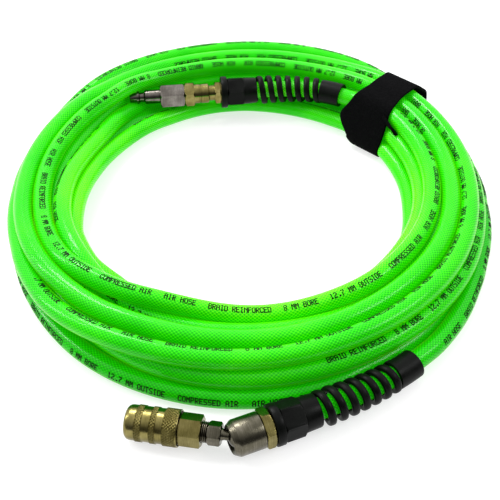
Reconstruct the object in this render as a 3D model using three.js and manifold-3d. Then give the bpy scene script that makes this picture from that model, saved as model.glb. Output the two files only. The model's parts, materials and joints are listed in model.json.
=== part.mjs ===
// A reinforced air hose wound flat into a round coil and tied with a hook-and-loop strap.
// One end carries a ball swivel with a quick coupler, the other an in-line swivel with a plug.
// Millimetres, +Z up, the coil lies flat on the ground plane.

import * as THREE from 'three';
import { mergeVertices } from 'three/addons/utils/BufferGeometryUtils.js';
import Module from 'manifold-3d';

const wasm = await Module();
wasm.setup();

// ---- driving dimensions -------------------------------------------------------------

const GAP = 0.3; // clearance between neighbouring pieces
const HOSE_R = 6.35; // hose outer radius
const BORE_R = 4.0; // hose inner radius
const AIR_R = 2.4; // air passage through the fittings

// Coil: a stepped ring, lower along its inner edge where the plug end lies.
const COIL_IN = 124;
const COIL_STEP = 150;
const COIL_OUT = 172;
const COIL_HIGH = 36;
const COIL_LOW = 12.7;
const FAR_ANGLE = 100; // the side where the plug's end lies inside the strands
const FAR_BULGE = 14; // how much farther out the strands lie there

// Strap around the coil.
const STRAP_ANGLE = 40; // degrees round the coil
const STRAP_W = 40;
const STRAP_T = 2.2;
const STRAP_IN = 108.2;
const STRAP_OUT = 176.3;
const STRAP_TOP = 41.4;

// Strain relief nut with its spiral guard, measured from the nut's front face.
const NUT_FLANGE = 5;
const NUT_HEX = 18.6;
const NUT_LEN = 28.9;
const GUARD_LEN = 53.6;
const GUARD_TURNS = 7;
const GUARD_WIRE = 1.4;
const GUARD_R = 8.75; // helix centre radius
const SLEEVE_LEN = 17;
const SLEEVE_R = 9.2;
const FLANGE_R = 12.6;

// Coupler end: front face of the nut, heading of its axis, bend of the guard.
const COUPLER_NUT = [14.4, -195.6, 12.7];
const COUPLER_HEADING = 22.5;
const COUPLER_BEND = 12;
const COUPLER_DROP = -3.0;

// Plug end, the same way.
const PLUG_NUT = [-21.2, 119.7, 24];
const PLUG_HEADING = 6.5;
const PLUG_BEND = -35;
const PLUG_RISE = 3.6;

// Ball swivel. Distances along the nut axis, from the nut's front face backwards.
const BALL_R = 6.6;
const BALL_MOUTH = 21.3; // half angle of the air passage's mouth in the ball
const BALL_BACK = 19.2;
const HOUSING_R = 10.85;
const SWIVEL_TILT = 33.1; // bend at rest
const SWIVEL_DIP = 2.0; // the coupler's nose dips to the ground

// Quick coupler, measured from its front face backwards.
const COUPLER_LEN = 44;
const STEM_OUT = 21.4; // ball centre to the coupler's rear face
const SOCKET_R = 5.8;
const NOSE_R = 4.0;
const LOCK_X = 13;
const LOCK_R = 6.3;
const LOCK_BALL_R = 1.6;
const LOCK_BALLS = 6;
const SLEEVE_SPRING_X = [17.4, 24.0];
const VALVE_SPRING_X = [26.4, 28.6];

// ---- shape helpers ------------------------------------------------------------------

const rad = THREE.MathUtils.degToRad;

// A closed triangle mesh as a solid for cutting and joining.
function solid(geometry) {
  const plain = geometry.clone();
  plain.deleteAttribute('normal');
  plain.deleteAttribute('uv');
  const merged = mergeVertices(plain, 1e-4);
  const index = Array.from(merged.index.array);
  const kept = [];
  for (let i = 0; i < index.length; i += 3) {
    const [a, b, c] = index.slice(i, i + 3);
    if (a !== b && b !== c && c !== a) kept.push(a, b, c);
  }
  const mesh = new wasm.Mesh({
    numProp: 3,
    vertProperties: new Float32Array(merged.attributes.position.array),
    triVerts: new Uint32Array(kept),
  });
  return new wasm.Manifold(mesh);
}

function geometryOf(manifold) {
  const mesh = manifold.getMesh();
  const geometry = new THREE.BufferGeometry();
  const position = new THREE.BufferAttribute(new Float32Array(mesh.vertProperties), 3);
  geometry.setAttribute('position', position);
  geometry.setIndex(new THREE.BufferAttribute(new Uint32Array(mesh.triVerts), 1));
  geometry.computeVertexNormals();
  return geometry;
}

// A turned piece about the X axis. The profile lists [x, radius] points of a closed outline,
// or of an open one that starts and ends on the axis.
function turned(profile, segments = 20) {
  const onAxis = profile[0][1] === 0;
  let points = profile.map(([x, r]) => new THREE.Vector2(r, x));
  const area = points.reduce((sum, p, i) => {
    const q = points[(i + 1) % points.length];
    return sum + p.x * q.y - q.x * p.y;
  }, 0);
  if (area < 0) points = points.reverse();
  if (!onAxis) points.push(points[0].clone());
  return new THREE.LatheGeometry(points, segments).rotateZ(-Math.PI / 2);
}

// A plain rod about the X axis.
function rod(x0, x1, r, segments = 20) {
  return turned([[x0, 0], [x0, r], [x1, r], [x1, 0]], segments);
}

// A hexagonal bar about the X axis with turned-down corners, flats facing +Z and -Z.
function hexBar(x0, x1, flats, chamfer = 0.8) {
  const corner = flats / Math.sqrt(3);
  const bar = new THREE.CylinderGeometry(corner, corner, x1 - x0, 6);
  bar.rotateZ(-Math.PI / 2).rotateX(Math.PI / 6).translate((x0 + x1) / 2, 0, 0);
  const low = corner - chamfer;
  const rise = chamfer * 0.6;
  const envelope = turned([
    [x0 - 1, 0], [x0 - 1, low - 0.5], [x0, low], [x0 + rise, corner + 0.05],
    [x1 - rise, corner + 0.05], [x1, low], [x1 + 1, low - 0.5], [x1 + 1, 0],
  ]);
  return solid(bar).intersect(solid(envelope));
}

// A round wire along any curve.
function wire(curve, radius, steps, sides = 8) {
  const section = new THREE.Shape();
  for (let i = 0; i < sides; i += 1) {
    const a = (i / sides) * 2 * Math.PI;
    if (i === 0) section.moveTo(radius * Math.cos(a), radius * Math.sin(a));
    else section.lineTo(radius * Math.cos(a), radius * Math.sin(a));
  }
  return new THREE.ExtrudeGeometry(section, { steps, extrudePath: curve, bevelEnabled: false });
}

// A hose: the same, with its bore left open from end to end.
function hose(curve, steps, sides = 8) {
  const ring = (radius) => Array.from({ length: sides }, (_, i) => {
    const a = (i / sides) * 2 * Math.PI;
    return new THREE.Vector2(radius * Math.cos(a), radius * Math.sin(a));
  });
  const section = new THREE.Shape(ring(HOSE_R));
  section.holes.push(new THREE.Path(ring(BORE_R).reverse()));
  return new THREE.ExtrudeGeometry(section, { steps, extrudePath: curve, bevelEnabled: false });
}

// A helix about the X axis from x0 to x1.
class Helix extends THREE.Curve {
  constructor(x0, x1, radius, turns) {
    super();
    Object.assign(this, { x0, x1, radius, turns });
  }

  getPoint(t, target = new THREE.Vector3()) {
    const a = 2 * Math.PI * this.turns * t;
    const x = this.x0 + (this.x1 - this.x0) * t;
    return target.set(x, this.radius * Math.cos(a), this.radius * Math.sin(a));
  }
}

// The centreline of a relief nut's guard: straight through the nut, then a circular bend.
// Local frame: the nut axis is X and the bend is to the left.
class ReliefAxis extends THREE.Curve {
  constructor(from, to, bend, rise) {
    super();
    Object.assign(this, { from, to, bend, rise });
  }

  at(s) {
    const length = GUARD_LEN + SLEEVE_LEN;
    if (s <= NUT_LEN) return new THREE.Vector3(s, 0, 0);
    const run = Math.min(s - NUT_LEN, length);
    const k = rad(this.bend) / length;
    const u = run / length;
    const tail = s - NUT_LEN - run;
    const x = NUT_LEN + Math.sin(k * run) / k + tail * Math.cos(k * run);
    const y = (1 - Math.cos(k * run)) / k + tail * Math.sin(k * run);
    return new THREE.Vector3(x, y, this.rise * u * u * (3 - 2 * u));
  }

  getPoint(t, target = new THREE.Vector3()) {
    return target.copy(this.at(this.from + (this.to - this.from) * t));
  }
}

// The spiral of the guard, wound round that centreline.
class GuardSpiral extends THREE.Curve {
  constructor(axis) {
    super();
    this.axis = axis;
  }

  getPoint(t, target = new THREE.Vector3()) {
    const s = NUT_LEN - 1 + (GUARD_LEN + 2) * t;
    const here = this.axis.at(s);
    const ahead = this.axis.at(s + 0.5).sub(this.axis.at(s - 0.5)).normalize();
    const side = new THREE.Vector3(-ahead.y, ahead.x, 0).normalize();
    const up = new THREE.Vector3().crossVectors(ahead, side);
    const a = 2 * Math.PI * GUARD_TURNS * t;
    const r = GUARD_R - 0.35 * t;
    return target.copy(here).addScaledVector(side, r * Math.cos(a)).addScaledVector(up, r * Math.sin(a));
  }
}

// ---- materials ----------------------------------------------------------------------

const paint = (color, roughness, metalness) => () => (
  new THREE.MeshStandardMaterial({ color, roughness, metalness })
);
const green = paint(0x2fdc1e, 0.28, 0);
const black = paint(0x16171a, 0.55, 0);
const webbing = paint(0x1b1b1e, 0.95, 0);
const brass = paint(0xa8873f, 0.3, 1);
const nickel = paint(0x9b958c, 0.28, 1);
const steel = paint(0x8f8f8d, 0.3, 1);
const rubber = paint(0x1a1a1a, 0.85, 0);
const plastic = paint(0xe8e4da, 0.5, 0);

function part(name, geometry, material) {
  const mesh = new THREE.Mesh(geometry, material());
  mesh.name = name;
  return mesh;
}

// ---- coil and strap -----------------------------------------------------------------

function hoseCoil() {
  const outline = [
    [COIL_IN, 0], [COIL_OUT, 0], [COIL_OUT, 25], [COIL_OUT - 7, COIL_HIGH],
    [COIL_STEP + 5, COIL_HIGH], [COIL_STEP, COIL_HIGH - 6], [COIL_STEP, COIL_LOW],
    [COIL_IN + 12, COIL_LOW], [COIL_IN, COIL_LOW - 4], [COIL_IN, 0],
  ].map(([r, z]) => new THREE.Vector2(r, z));
  const ring = new THREE.LatheGeometry(outline, 48).rotateX(Math.PI / 2);
  const at = ring.attributes.position;
  for (let i = 0; i < at.count; i += 1) {
    const r = Math.hypot(at.getX(i), at.getY(i));
    const turn = Math.atan2(at.getY(i), at.getX(i)) - rad(FAR_ANGLE);
    const away = Math.abs(Math.atan2(Math.sin(turn), Math.cos(turn)));
    const near = Math.cos(Math.min(1.5 * away, Math.PI / 2)) ** 2;
    const outer = Math.max(0, (r - COIL_STEP - 5) / (COIL_OUT - COIL_STEP - 5));
    const scale = 1 + (FAR_BULGE * near * outer) / r;
    at.setXY(i, at.getX(i) * scale, at.getY(i) * scale);
  }
  const slot = new THREE.BoxGeometry(COIL_OUT, STRAP_W + 2, 2 * (STRAP_T + GAP));
  slot.translate(COIL_OUT - 20, 0, 0).rotateZ(rad(STRAP_ANGLE));
  return part('hose_coil', geometryOf(solid(ring).subtract(solid(slot))), green);
}

// A rectangle with round corners, in the plane of the strap's loop.
function loopOutline(shape, x0, x1, z0, z1, top, foot) {
  shape.moveTo(x0 + foot, z0);
  shape.lineTo(x1 - foot, z0);
  shape.absarc(x1 - foot, z0 + foot, foot, -Math.PI / 2, 0, false);
  shape.lineTo(x1, z1 - top);
  shape.absarc(x1 - top, z1 - top, top, 0, Math.PI / 2, false);
  shape.lineTo(x0 + top, z1);
  shape.absarc(x0 + top, z1 - top, top, Math.PI / 2, Math.PI, false);
  shape.lineTo(x0, z0 + foot);
  shape.absarc(x0 + foot, z0 + foot, foot, Math.PI, 1.5 * Math.PI, false);
  return shape;
}

function strap() {
  const group = new THREE.Group();
  const outer = loopOutline(new THREE.Shape(), STRAP_IN, STRAP_OUT, 0, STRAP_TOP, 14, 6);
  const inner = loopOutline(new THREE.Path(), STRAP_IN + STRAP_T, STRAP_OUT - STRAP_T, STRAP_T,
    STRAP_TOP - STRAP_T, 14 - STRAP_T, 6 - STRAP_T);
  outer.holes.push(inner);
  const across = { depth: STRAP_W, bevelEnabled: false, curveSegments: 6 };
  const band = new THREE.ExtrudeGeometry(outer, across);
  band.translate(0, 0, -STRAP_W / 2).rotateX(Math.PI / 2);
  group.add(part('strap_band', band, webbing));

  const tab = new THREE.BoxGeometry(36, STRAP_W - 4, 1.6);
  tab.translate((STRAP_IN + STRAP_OUT) / 2 - 4, 0, STRAP_TOP + GAP + 0.8);
  group.add(part('strap_hook_tab', tab, webbing));
  group.rotation.z = rad(STRAP_ANGLE);
  return group;
}

// ---- strain relief ------------------------------------------------------------------

// Nut body, spiral guard and end sleeve, moulded in one piece.
function reliefNut(name, axis) {
  const body = turned([
    [0, 9.0], [0, FLANGE_R - 0.6], [0.6, FLANGE_R], [NUT_FLANGE - 0.6, FLANGE_R],
    [NUT_FLANGE, FLANGE_R - 0.6], [NUT_FLANGE, 10.6], [NUT_HEX, 10.6], [NUT_HEX, 10.4],
    [NUT_LEN, 10.0], [NUT_LEN, HOSE_R + 0.6], [24.5, HOSE_R + 0.6], [22.4, 7.8], [12.4, 9.0],
  ]);
  const hex = hexBar(NUT_FLANGE - 0.2, NUT_HEX, 20.8, 1.0).subtract(solid(rod(0, NUT_LEN, 10.2)));
  const spiral = wire(new GuardSpiral(axis), GUARD_WIRE, GUARD_TURNS * 9, 5);
  const start = NUT_LEN + GUARD_LEN;
  const outer = wire(new ReliefAxis(start, start + SLEEVE_LEN, axis.bend, axis.rise), SLEEVE_R, 3, 18);
  const inner = wire(new ReliefAxis(start - 1, start + SLEEVE_LEN + 1, axis.bend, axis.rise),
    HOSE_R + 0.65, 4, 16);
  const sleeve = solid(outer).subtract(solid(inner));
  const all = solid(body).add(hex).add(solid(spiral)).add(sleeve);
  return part(name, geometryOf(all), black);
}

// Split collet that the nut closes on the hose.
function collet(name) {
  const shell = turned([
    [12.8, 6.75], [12.8, 8.5], [15, 8.3], [21.8, 7.45], [21.8, 6.75],
  ]);
  const slit = new THREE.BoxGeometry(12, 1.6, 4).translate(17.3, 0, 7.6);
  return part(name, geometryOf(solid(shell).subtract(solid(slit))), plastic);
}

// Barbed tail and nut thread that both hose stems share, as an outline from x = -0.3 on.
const BARB = [
  [-0.3, 8.5], [8.8, 8.5], [8.8, 3.3],
  ...[11, 16, 21].flatMap((x) => [[x, 3.1], [x, 3.7]]),
  [28, 3.0], [28, AIR_R],
];

// ---- coupler end --------------------------------------------------------------------

// Hose stem of the coupler end: barb, nut thread, hexagon, and the thread of the housing.
function couplerHoseStem() {
  const core = turned([[-10.9, AIR_R], [-10.9, 6.1], [-6.3, 6.1], [-6.3, 8.5], ...BARB]);
  const flats = hexBar(-6.2, -0.3, 21).subtract(solid(rod(-7, 0, 7)));
  return part('coupler_hose_stem', geometryOf(solid(core).add(flats)), brass);
}

// Housing of the ball swivel. h runs from the ball centre towards the coupler.
function swivelHousing() {
  const socket = Array.from({ length: 5 }, (_, i) => {
    const h = 3.2 * (1 - i / 4);
    return [-BALL_BACK - h, Math.sqrt((BALL_R + GAP) ** 2 - h * h)];
  });
  return part('swivel_housing', turned([
    [-BALL_BACK - 6, 8.15], [-BALL_BACK - 6, 8.5], [-BALL_BACK - 3.1, HOUSING_R - 0.3],
    [-BALL_BACK - 2.6, HOUSING_R], [-6.9, HOUSING_R], [-6.5, HOUSING_R - 0.4], [-6.5, 6.45],
    [-BALL_BACK + 8, 6.45], [-BALL_BACK + 8, 7.3], [-BALL_BACK, 7.3], ...socket.reverse(),
  ], 24), nickel);
}

// Seat ring behind the ball, free to turn in the housing.
function ballSeat() {
  const cup = Array.from({ length: 5 }, (_, i) => {
    const h = 2.2 + (6.2 - 2.2) * (i / 4);
    return [-BALL_BACK + h, Math.sqrt((BALL_R + GAP) ** 2 - h * h)];
  });
  return part('ball_seat', turned([
    [-BALL_BACK + 7.7, 3.0], [-BALL_BACK + 7.7, 6.95], [-BALL_BACK + 2.2, 6.95], ...cup,
  ]), plastic);
}

// Stem with the ball, in the coupler's own frame: x from the coupler's front face.
function swivelStem() {
  const centre = COUPLER_LEN + STEM_OUT;
  const ball = Array.from({ length: 12 }, (_, i) => {
    const a = rad(27 + (i / 11) * (180 - 27 - BALL_MOUTH));
    return [centre - BALL_R * Math.cos(a), BALL_R * Math.sin(a)];
  });
  const core = turned([
    [35.0, AIR_R], [35.0, 5.4], [36.0, 6.0], [COUPLER_LEN + 3.4, 6.1], [COUPLER_LEN + 3.4, 4.6],
    [centre - 10.2, 4.6], [centre - 10.2, 3.6], [centre - 8.6, 3.0], ...ball,
  ]);
  const flats = hexBar(COUPLER_LEN + 3.4, centre - 10.2, 12.2, 0.7);
  const bored = flats.subtract(solid(rod(COUPLER_LEN, centre, 4)));
  return part('swivel_stem', geometryOf(solid(core).add(bored)), nickel);
}

// Front half of the coupler: holds the locking balls and the valve.
function couplerSocket() {
  const shell = solid(turned([
    [0.8, SOCKET_R + 0.4], [0.8, 7.3], [1.2, 7.7], [8.6, 7.7], [8.6, 7.0], [10.0, 7.0],
    [10.0, 7.7], [24.0, 7.7], [24.0, 6.6], [29.8, 6.6], [29.8, 5.4], [23.3, 5.4],
    [23.3, NOSE_R], [21.4, NOSE_R], [21.4, 5.4], [18.6, 5.4], [18.6, NOSE_R], [17.3, NOSE_R],
    [17.3, SOCKET_R], [1.4, SOCKET_R],
  ]));
  const holes = Array.from({ length: LOCK_BALLS }, (_, i) => {
    const drill = new THREE.CylinderGeometry(1.8, 1.8, 5, 8).translate(0, 7, 0);
    drill.rotateX((i / LOCK_BALLS) * 2 * Math.PI).translate(LOCK_X, 0, 0);
    return solid(drill);
  });
  const drilled = holes.reduce((body, hole) => body.subtract(hole), shell);
  return part('coupler_socket', geometryOf(drilled), brass);
}

// Rear half of the coupler: hexagon with the female pipe thread.
function couplerAdapter() {
  const round = solid(turned([
    [24.3, 6.95], [24.3, 8.7], [24.6, 9.0], [31.2, 9.0], [31.2, 8.0], [COUPLER_LEN, 8.0],
    [COUPLER_LEN, 6.45], [33.6, 6.45], [33.6, 4.6], [30.4, 4.6], [30.4, 6.95],
  ]));
  const hex = hexBar(31.0, COUPLER_LEN, 16.8, 0.5).subtract(solid(rod(30, COUPLER_LEN + 1, 7)));
  return part('coupler_adapter', geometryOf(round.add(hex)), brass);
}

// Sliding sleeve with three knurled bands.
function couplerSleeve() {
  return part('coupler_sleeve', turned([
    [0, 8.15], [0, 8.6], [0.8, 9.5], [2.6, 10.15], [6.2, 10.2], [6.4, 10.6], [10.2, 10.6],
    [10.4, 10.2], [14.8, 10.2], [15.0, 10.6], [18.3, 10.6], [18.5, 10.2], [22.4, 10.2],
    [22.6, 10.9], [30.6, 10.9], [31.0, 10.6], [31.0, 10.05], [27.2, 10.05], [27.2, 9.35],
    [17.0, 9.35], [17.0, 8.15], [13.0, 8.15], [9.5, 9.45], [2.6, 9.45], [1.2, 8.15],
  ]), brass);
}

function sleeveStopRing() {
  const ring = turned([[8.9, 7.3], [8.9, 9.1], [9.7, 9.1], [9.7, 7.3]]);
  const slit = new THREE.BoxGeometry(2, 4, 2).translate(9.3, 0, -8.2);
  return part('sleeve_stop_ring', geometryOf(solid(ring).subtract(solid(slit))), steel);
}

function lockingBall(i) {
  const ball = new THREE.SphereGeometry(LOCK_BALL_R, 8, 6);
  const mesh = part(`locking_ball_${i + 1}`, ball, steel);
  const a = (i / LOCK_BALLS) * 2 * Math.PI;
  mesh.position.set(LOCK_X, LOCK_R * Math.cos(a), LOCK_R * Math.sin(a));
  return mesh;
}

function coilSpring(name, [x0, x1], radius, gauge, turns) {
  const path = new Helix(x0 + gauge, x1 - gauge, radius, turns);
  return part(name, wire(path, gauge, turns * 12, 4), steel);
}

function plugSeal() {
  return part('plug_seal', turned([
    [18.9, 4.1], [18.9, 5.1], [21.1, 5.1], [21.1, 4.1],
  ]), rubber);
}

// Valve disc. The plug's nose pushes the disc's own nose back off its seat.
function valvePoppet() {
  return part('valve_poppet', turned([
    [22.0, 0], [22.0, 3.4], [23.6, 3.4], [23.6, 4.6], [24.2, 4.9], [25.6, 4.9], [25.8, 2.2],
    [27.2, 1.8], [27.2, 0],
  ], 16), plastic);
}

// Ring with a bridge that carries the valve spring.
function valveGuide() {
  const rim = solid(turned([[28.8, 3.9], [28.8, 5.1], [30.0, 5.1], [30.0, 3.9]]));
  const bridge = solid(new THREE.BoxGeometry(1.2, 8.6, 2.0).translate(29.4, 0, 0));
  return part('valve_guide', geometryOf(rim.add(bridge)), brass);
}

function coupler() {
  const group = new THREE.Group();
  group.add(swivelStem(), couplerSocket(), couplerAdapter(), couplerSleeve(), sleeveStopRing());
  for (let i = 0; i < LOCK_BALLS; i += 1) group.add(lockingBall(i));
  group.add(coilSpring('sleeve_spring', SLEEVE_SPRING_X, 8.52, 0.42, 4));
  group.add(coilSpring('valve_spring', VALVE_SPRING_X, 3.1, 0.3, 3));
  group.add(plugSeal(), valvePoppet(), valveGuide());
  return group;
}

// ---- plug end -----------------------------------------------------------------------

// Hose stem of the plug end: barb, nut thread, hexagon, and the spigot of the swivel.
function plugHoseStem() {
  const core = turned([
    [-20.4, AIR_R], [-20.4, 4.6], [-18.9, 4.9], [-18.9, 3.7], [-16.9, 3.7], [-16.9, 4.9],
    [-14.6, 4.9], [-14.6, 4.1], [-13.2, 4.1], [-13.2, 4.9], [-9.6, 4.9], [-9.6, 6.2],
    [-5.2, 6.2], [-5.2, 8.0], ...BARB,
  ]);
  const flats = hexBar(-5.2, -0.3, 16.6).subtract(solid(rod(-6, 0, 7)));
  return part('plug_hose_stem', geometryOf(solid(core).add(flats)), brass);
}

// Barrel of the in-line swivel: male thread, hexagon and the cup round the spigot.
function swivelBarrel() {
  const core = turned([
    [-41, AIR_R], [-41, 5.4], [-40, 6.0], [-29.3, 6.0], [-29.3, 7.5], [-21.5, 7.85],
    [-10.4, 7.85], [-9.9, 7.4], [-9.9, 5.25], [-13.1, 5.25], [-13.1, 6.3], [-14.8, 6.3],
    [-14.8, 5.25], [-21.2, 5.25], [-21.2, AIR_R],
  ]);
  const flats = hexBar(-29.3, -21.5, 18).subtract(solid(rod(-30, -20, 7)));
  return part('swivel_barrel', geometryOf(solid(core).add(flats)), brass);
}

function swivelOring() {
  return part('swivel_o_ring', turned([
    [-18.5, 4.0], [-18.5, 4.9], [-17.3, 4.9], [-17.3, 4.0],
  ]), rubber);
}

function swivelSnapRing() {
  const ring = turned([[-14.3, 4.4], [-14.3, 6.0], [-13.5, 6.0], [-13.5, 4.4]]);
  const slit = new THREE.BoxGeometry(2, 3, 3).translate(-13.9, 0, -5.2);
  return part('swivel_snap_ring', geometryOf(solid(ring).subtract(solid(slit))), steel);
}

// Steel plug: nose, catch groove, shoulder, and a hexagon with a female pipe thread.
function airPlug() {
  const core = turned([
    [-73.7, AIR_R], [-73.7, 3.4], [-73.2, 3.8], [-67.8, 3.8], [-67.8, 5.0], [-66.2, 5.0],
    [-65.4, 3.9], [-62.4, 3.9], [-61.4, 5.1], [-61.0, 5.55], [-49.6, 5.55], [-49.0, 8.0],
    [-30.0, 8.0], [-29.6, 7.6], [-29.6, 6.35], [-41.6, 6.35], [-42.6, AIR_R],
  ]);
  const flats = hexBar(-49.0, -29.6, 17.2).subtract(solid(rod(-50, -29, 7)));
  return part('air_plug', geometryOf(solid(core).add(flats)), steel);
}

// ---- the two hose leads -------------------------------------------------------------

// Each lead starts on its barb, runs straight down the relief axis and then along the coil.
class Lead extends THREE.Curve {
  constructor(axis, length, curl) {
    super();
    Object.assign(this, { axis, length, curl });
  }

  getPoint(t, target = new THREE.Vector3()) {
    const start = 9.2;
    const end = NUT_LEN + GUARD_LEN + SLEEVE_LEN;
    const s = start + (end - start + this.length) * t;
    if (s <= end) return target.copy(this.axis.at(s));
    const from = this.axis.at(end);
    const heading = rad(this.axis.bend);
    const k = this.curl / this.length;
    const run = s - end;
    const x = from.x + (Math.sin(heading + k * run) - Math.sin(heading)) / k;
    const y = from.y - (Math.cos(heading + k * run) - Math.cos(heading)) / k;
    return target.set(x, y, from.z);
  }
}

// ---- assembly -----------------------------------------------------------------------

function placed(position, heading, ...children) {
  const group = new THREE.Group();
  group.position.set(...position);
  group.rotation.z = rad(heading);
  group.add(...children);
  return group;
}

function couplerEnd() {
  const axis = new ReliefAxis(0, 1, COUPLER_BEND, COUPLER_DROP);
  const lead = part('coupler_lead', hose(new Lead(axis, 20, 0.12), 14), green);
  const swung = coupler();
  const aim = new THREE.Group();
  aim.position.set(-BALL_BACK, 0, 0);
  aim.rotation.set(0, rad(-SWIVEL_DIP), rad(-SWIVEL_TILT), 'ZYX');
  swung.position.set(-(COUPLER_LEN + STEM_OUT), 0, 0);
  aim.add(swung);
  return placed(COUPLER_NUT, COUPLER_HEADING, reliefNut('coupler_relief_nut', axis),
    collet('coupler_collet'), couplerHoseStem(), swivelHousing(), ballSeat(), lead, aim);
}

function plugEnd() {
  const axis = new ReliefAxis(0, 1, PLUG_BEND, PLUG_RISE);
  const lead = part('plug_lead', hose(new Lead(axis, 52, -0.3), 16), green);
  return placed(PLUG_NUT, PLUG_HEADING, reliefNut('plug_relief_nut', axis),
    collet('plug_collet'), plugHoseStem(), swivelBarrel(), swivelOring(), swivelSnapRing(),
    airPlug(), lead);
}

const airHose = new THREE.Group();
airHose.add(hoseCoil(), strap(), couplerEnd(), plugEnd());
airHose.updateMatrixWorld(true);

// The origin is the middle of the object's footprint, on the ground.
const box = new THREE.Box3().setFromObject(airHose, true);
airHose.position.set(-(box.min.x + box.max.x) / 2, -(box.min.y + box.max.y) / 2, -box.min.z);

export default airHose;
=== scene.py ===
import json
import math

import bmesh
import bpy
import numpy as np
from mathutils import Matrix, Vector, kdtree


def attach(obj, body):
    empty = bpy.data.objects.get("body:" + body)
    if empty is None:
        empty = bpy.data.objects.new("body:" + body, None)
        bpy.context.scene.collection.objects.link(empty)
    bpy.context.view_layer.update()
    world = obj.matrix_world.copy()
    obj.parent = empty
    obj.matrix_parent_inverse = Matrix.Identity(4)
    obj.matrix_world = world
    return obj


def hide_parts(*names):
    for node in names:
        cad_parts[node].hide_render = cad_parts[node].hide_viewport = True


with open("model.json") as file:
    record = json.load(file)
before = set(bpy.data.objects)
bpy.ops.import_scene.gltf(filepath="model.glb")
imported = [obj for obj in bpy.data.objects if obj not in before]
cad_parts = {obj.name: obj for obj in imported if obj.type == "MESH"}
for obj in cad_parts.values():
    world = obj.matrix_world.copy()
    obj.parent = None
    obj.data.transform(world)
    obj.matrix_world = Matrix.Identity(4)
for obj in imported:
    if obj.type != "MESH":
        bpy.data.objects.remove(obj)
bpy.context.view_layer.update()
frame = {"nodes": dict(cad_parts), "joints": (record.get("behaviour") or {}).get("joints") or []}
nodes = frame["nodes"]

MM = 0.001  # this script works in millimetres, and the frame in metres
# the ball of the coupler's swivel is known both from the coil's centre and in the frame
BALL = np.array([-3.338, -202.948, 12.7])
tilt = next(j for j in frame["joints"] if j["name"] == "coupler_tilt")
COIL_CENTRE = np.array([0.0, tilt["pos_m"][1] / MM - BALL[1], 0.0])

# ---------------------------------------------------------------- camera

CAMERA_AT = Vector((0.0025, COIL_CENTRE[1] * MM - 0.48618, 0.4343))
CAMERA_DOWN = 44.2
camera = bpy.data.objects.new("camera", bpy.data.cameras.new("camera"))
camera.data.lens = 63.8
camera.data.sensor_width = 36
camera.location = CAMERA_AT
camera.rotation_euler = (math.radians(90 - CAMERA_DOWN), 0, 0)
bpy.context.scene.collection.objects.link(camera)
bpy.context.scene.camera = camera

# ---------------------------------------------------------------- hose route

HOSE_R = 6.35
BORE_R = 4.1
AIR_R = 2.4  # the air's way through the metal fittings
TURNS = 11
STEP = 5  # degrees from one station of the coil to the next
FIRST_ANGLE = -50
LAST_ANGLE = 50 + 360 * TURNS
END_GAP = 9  # degrees before the last point in which no resting place counts
LINE_STEPS = 8  # of the smooth line between two stations
ROUTE_SPACING = 4.5

# along a strain relief: the nut, its ribs and its end sleeve, and where the hose starts in it
NUT, RIBS, END_SLEEVE = 28.9, 53.6, 17
GUARD = RIBS + END_SLEEVE
HOSE_START = 9.2
RELIEF_SPACING = 7.525

# each strain relief: the nut's front, its heading, and how its guard bends and rises
COUPLER_END = ((14.4, -195.6, 12.7), 22.5, 17, -3)
PLUG_END = ((-21.2, 119.7, 24), 6.5, -35, 3.6)

# what stands on each relief's axis: from, to, radius
RELIEF = ((0, 5, 12.9), (5, 18.6, 12.2), (18.6, 28.9, 10.7), (28.9, 50, 11.2), (50, 82.5, 10.4),
          (82.5, 99.5, 9.3))
PLUG = ((-74, -66, 4.1), (-66, -61, 5.2), (-61, -49, 5.8), (-49, -30, 10.2), (-30, -21, 10.6),
        (-21, 0, 9.8))

DISC_SPACING = 2.0

LOW, MID, HIGH = 6.4, 17.4, 28.4  # heights of the bundle's three layers
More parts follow.
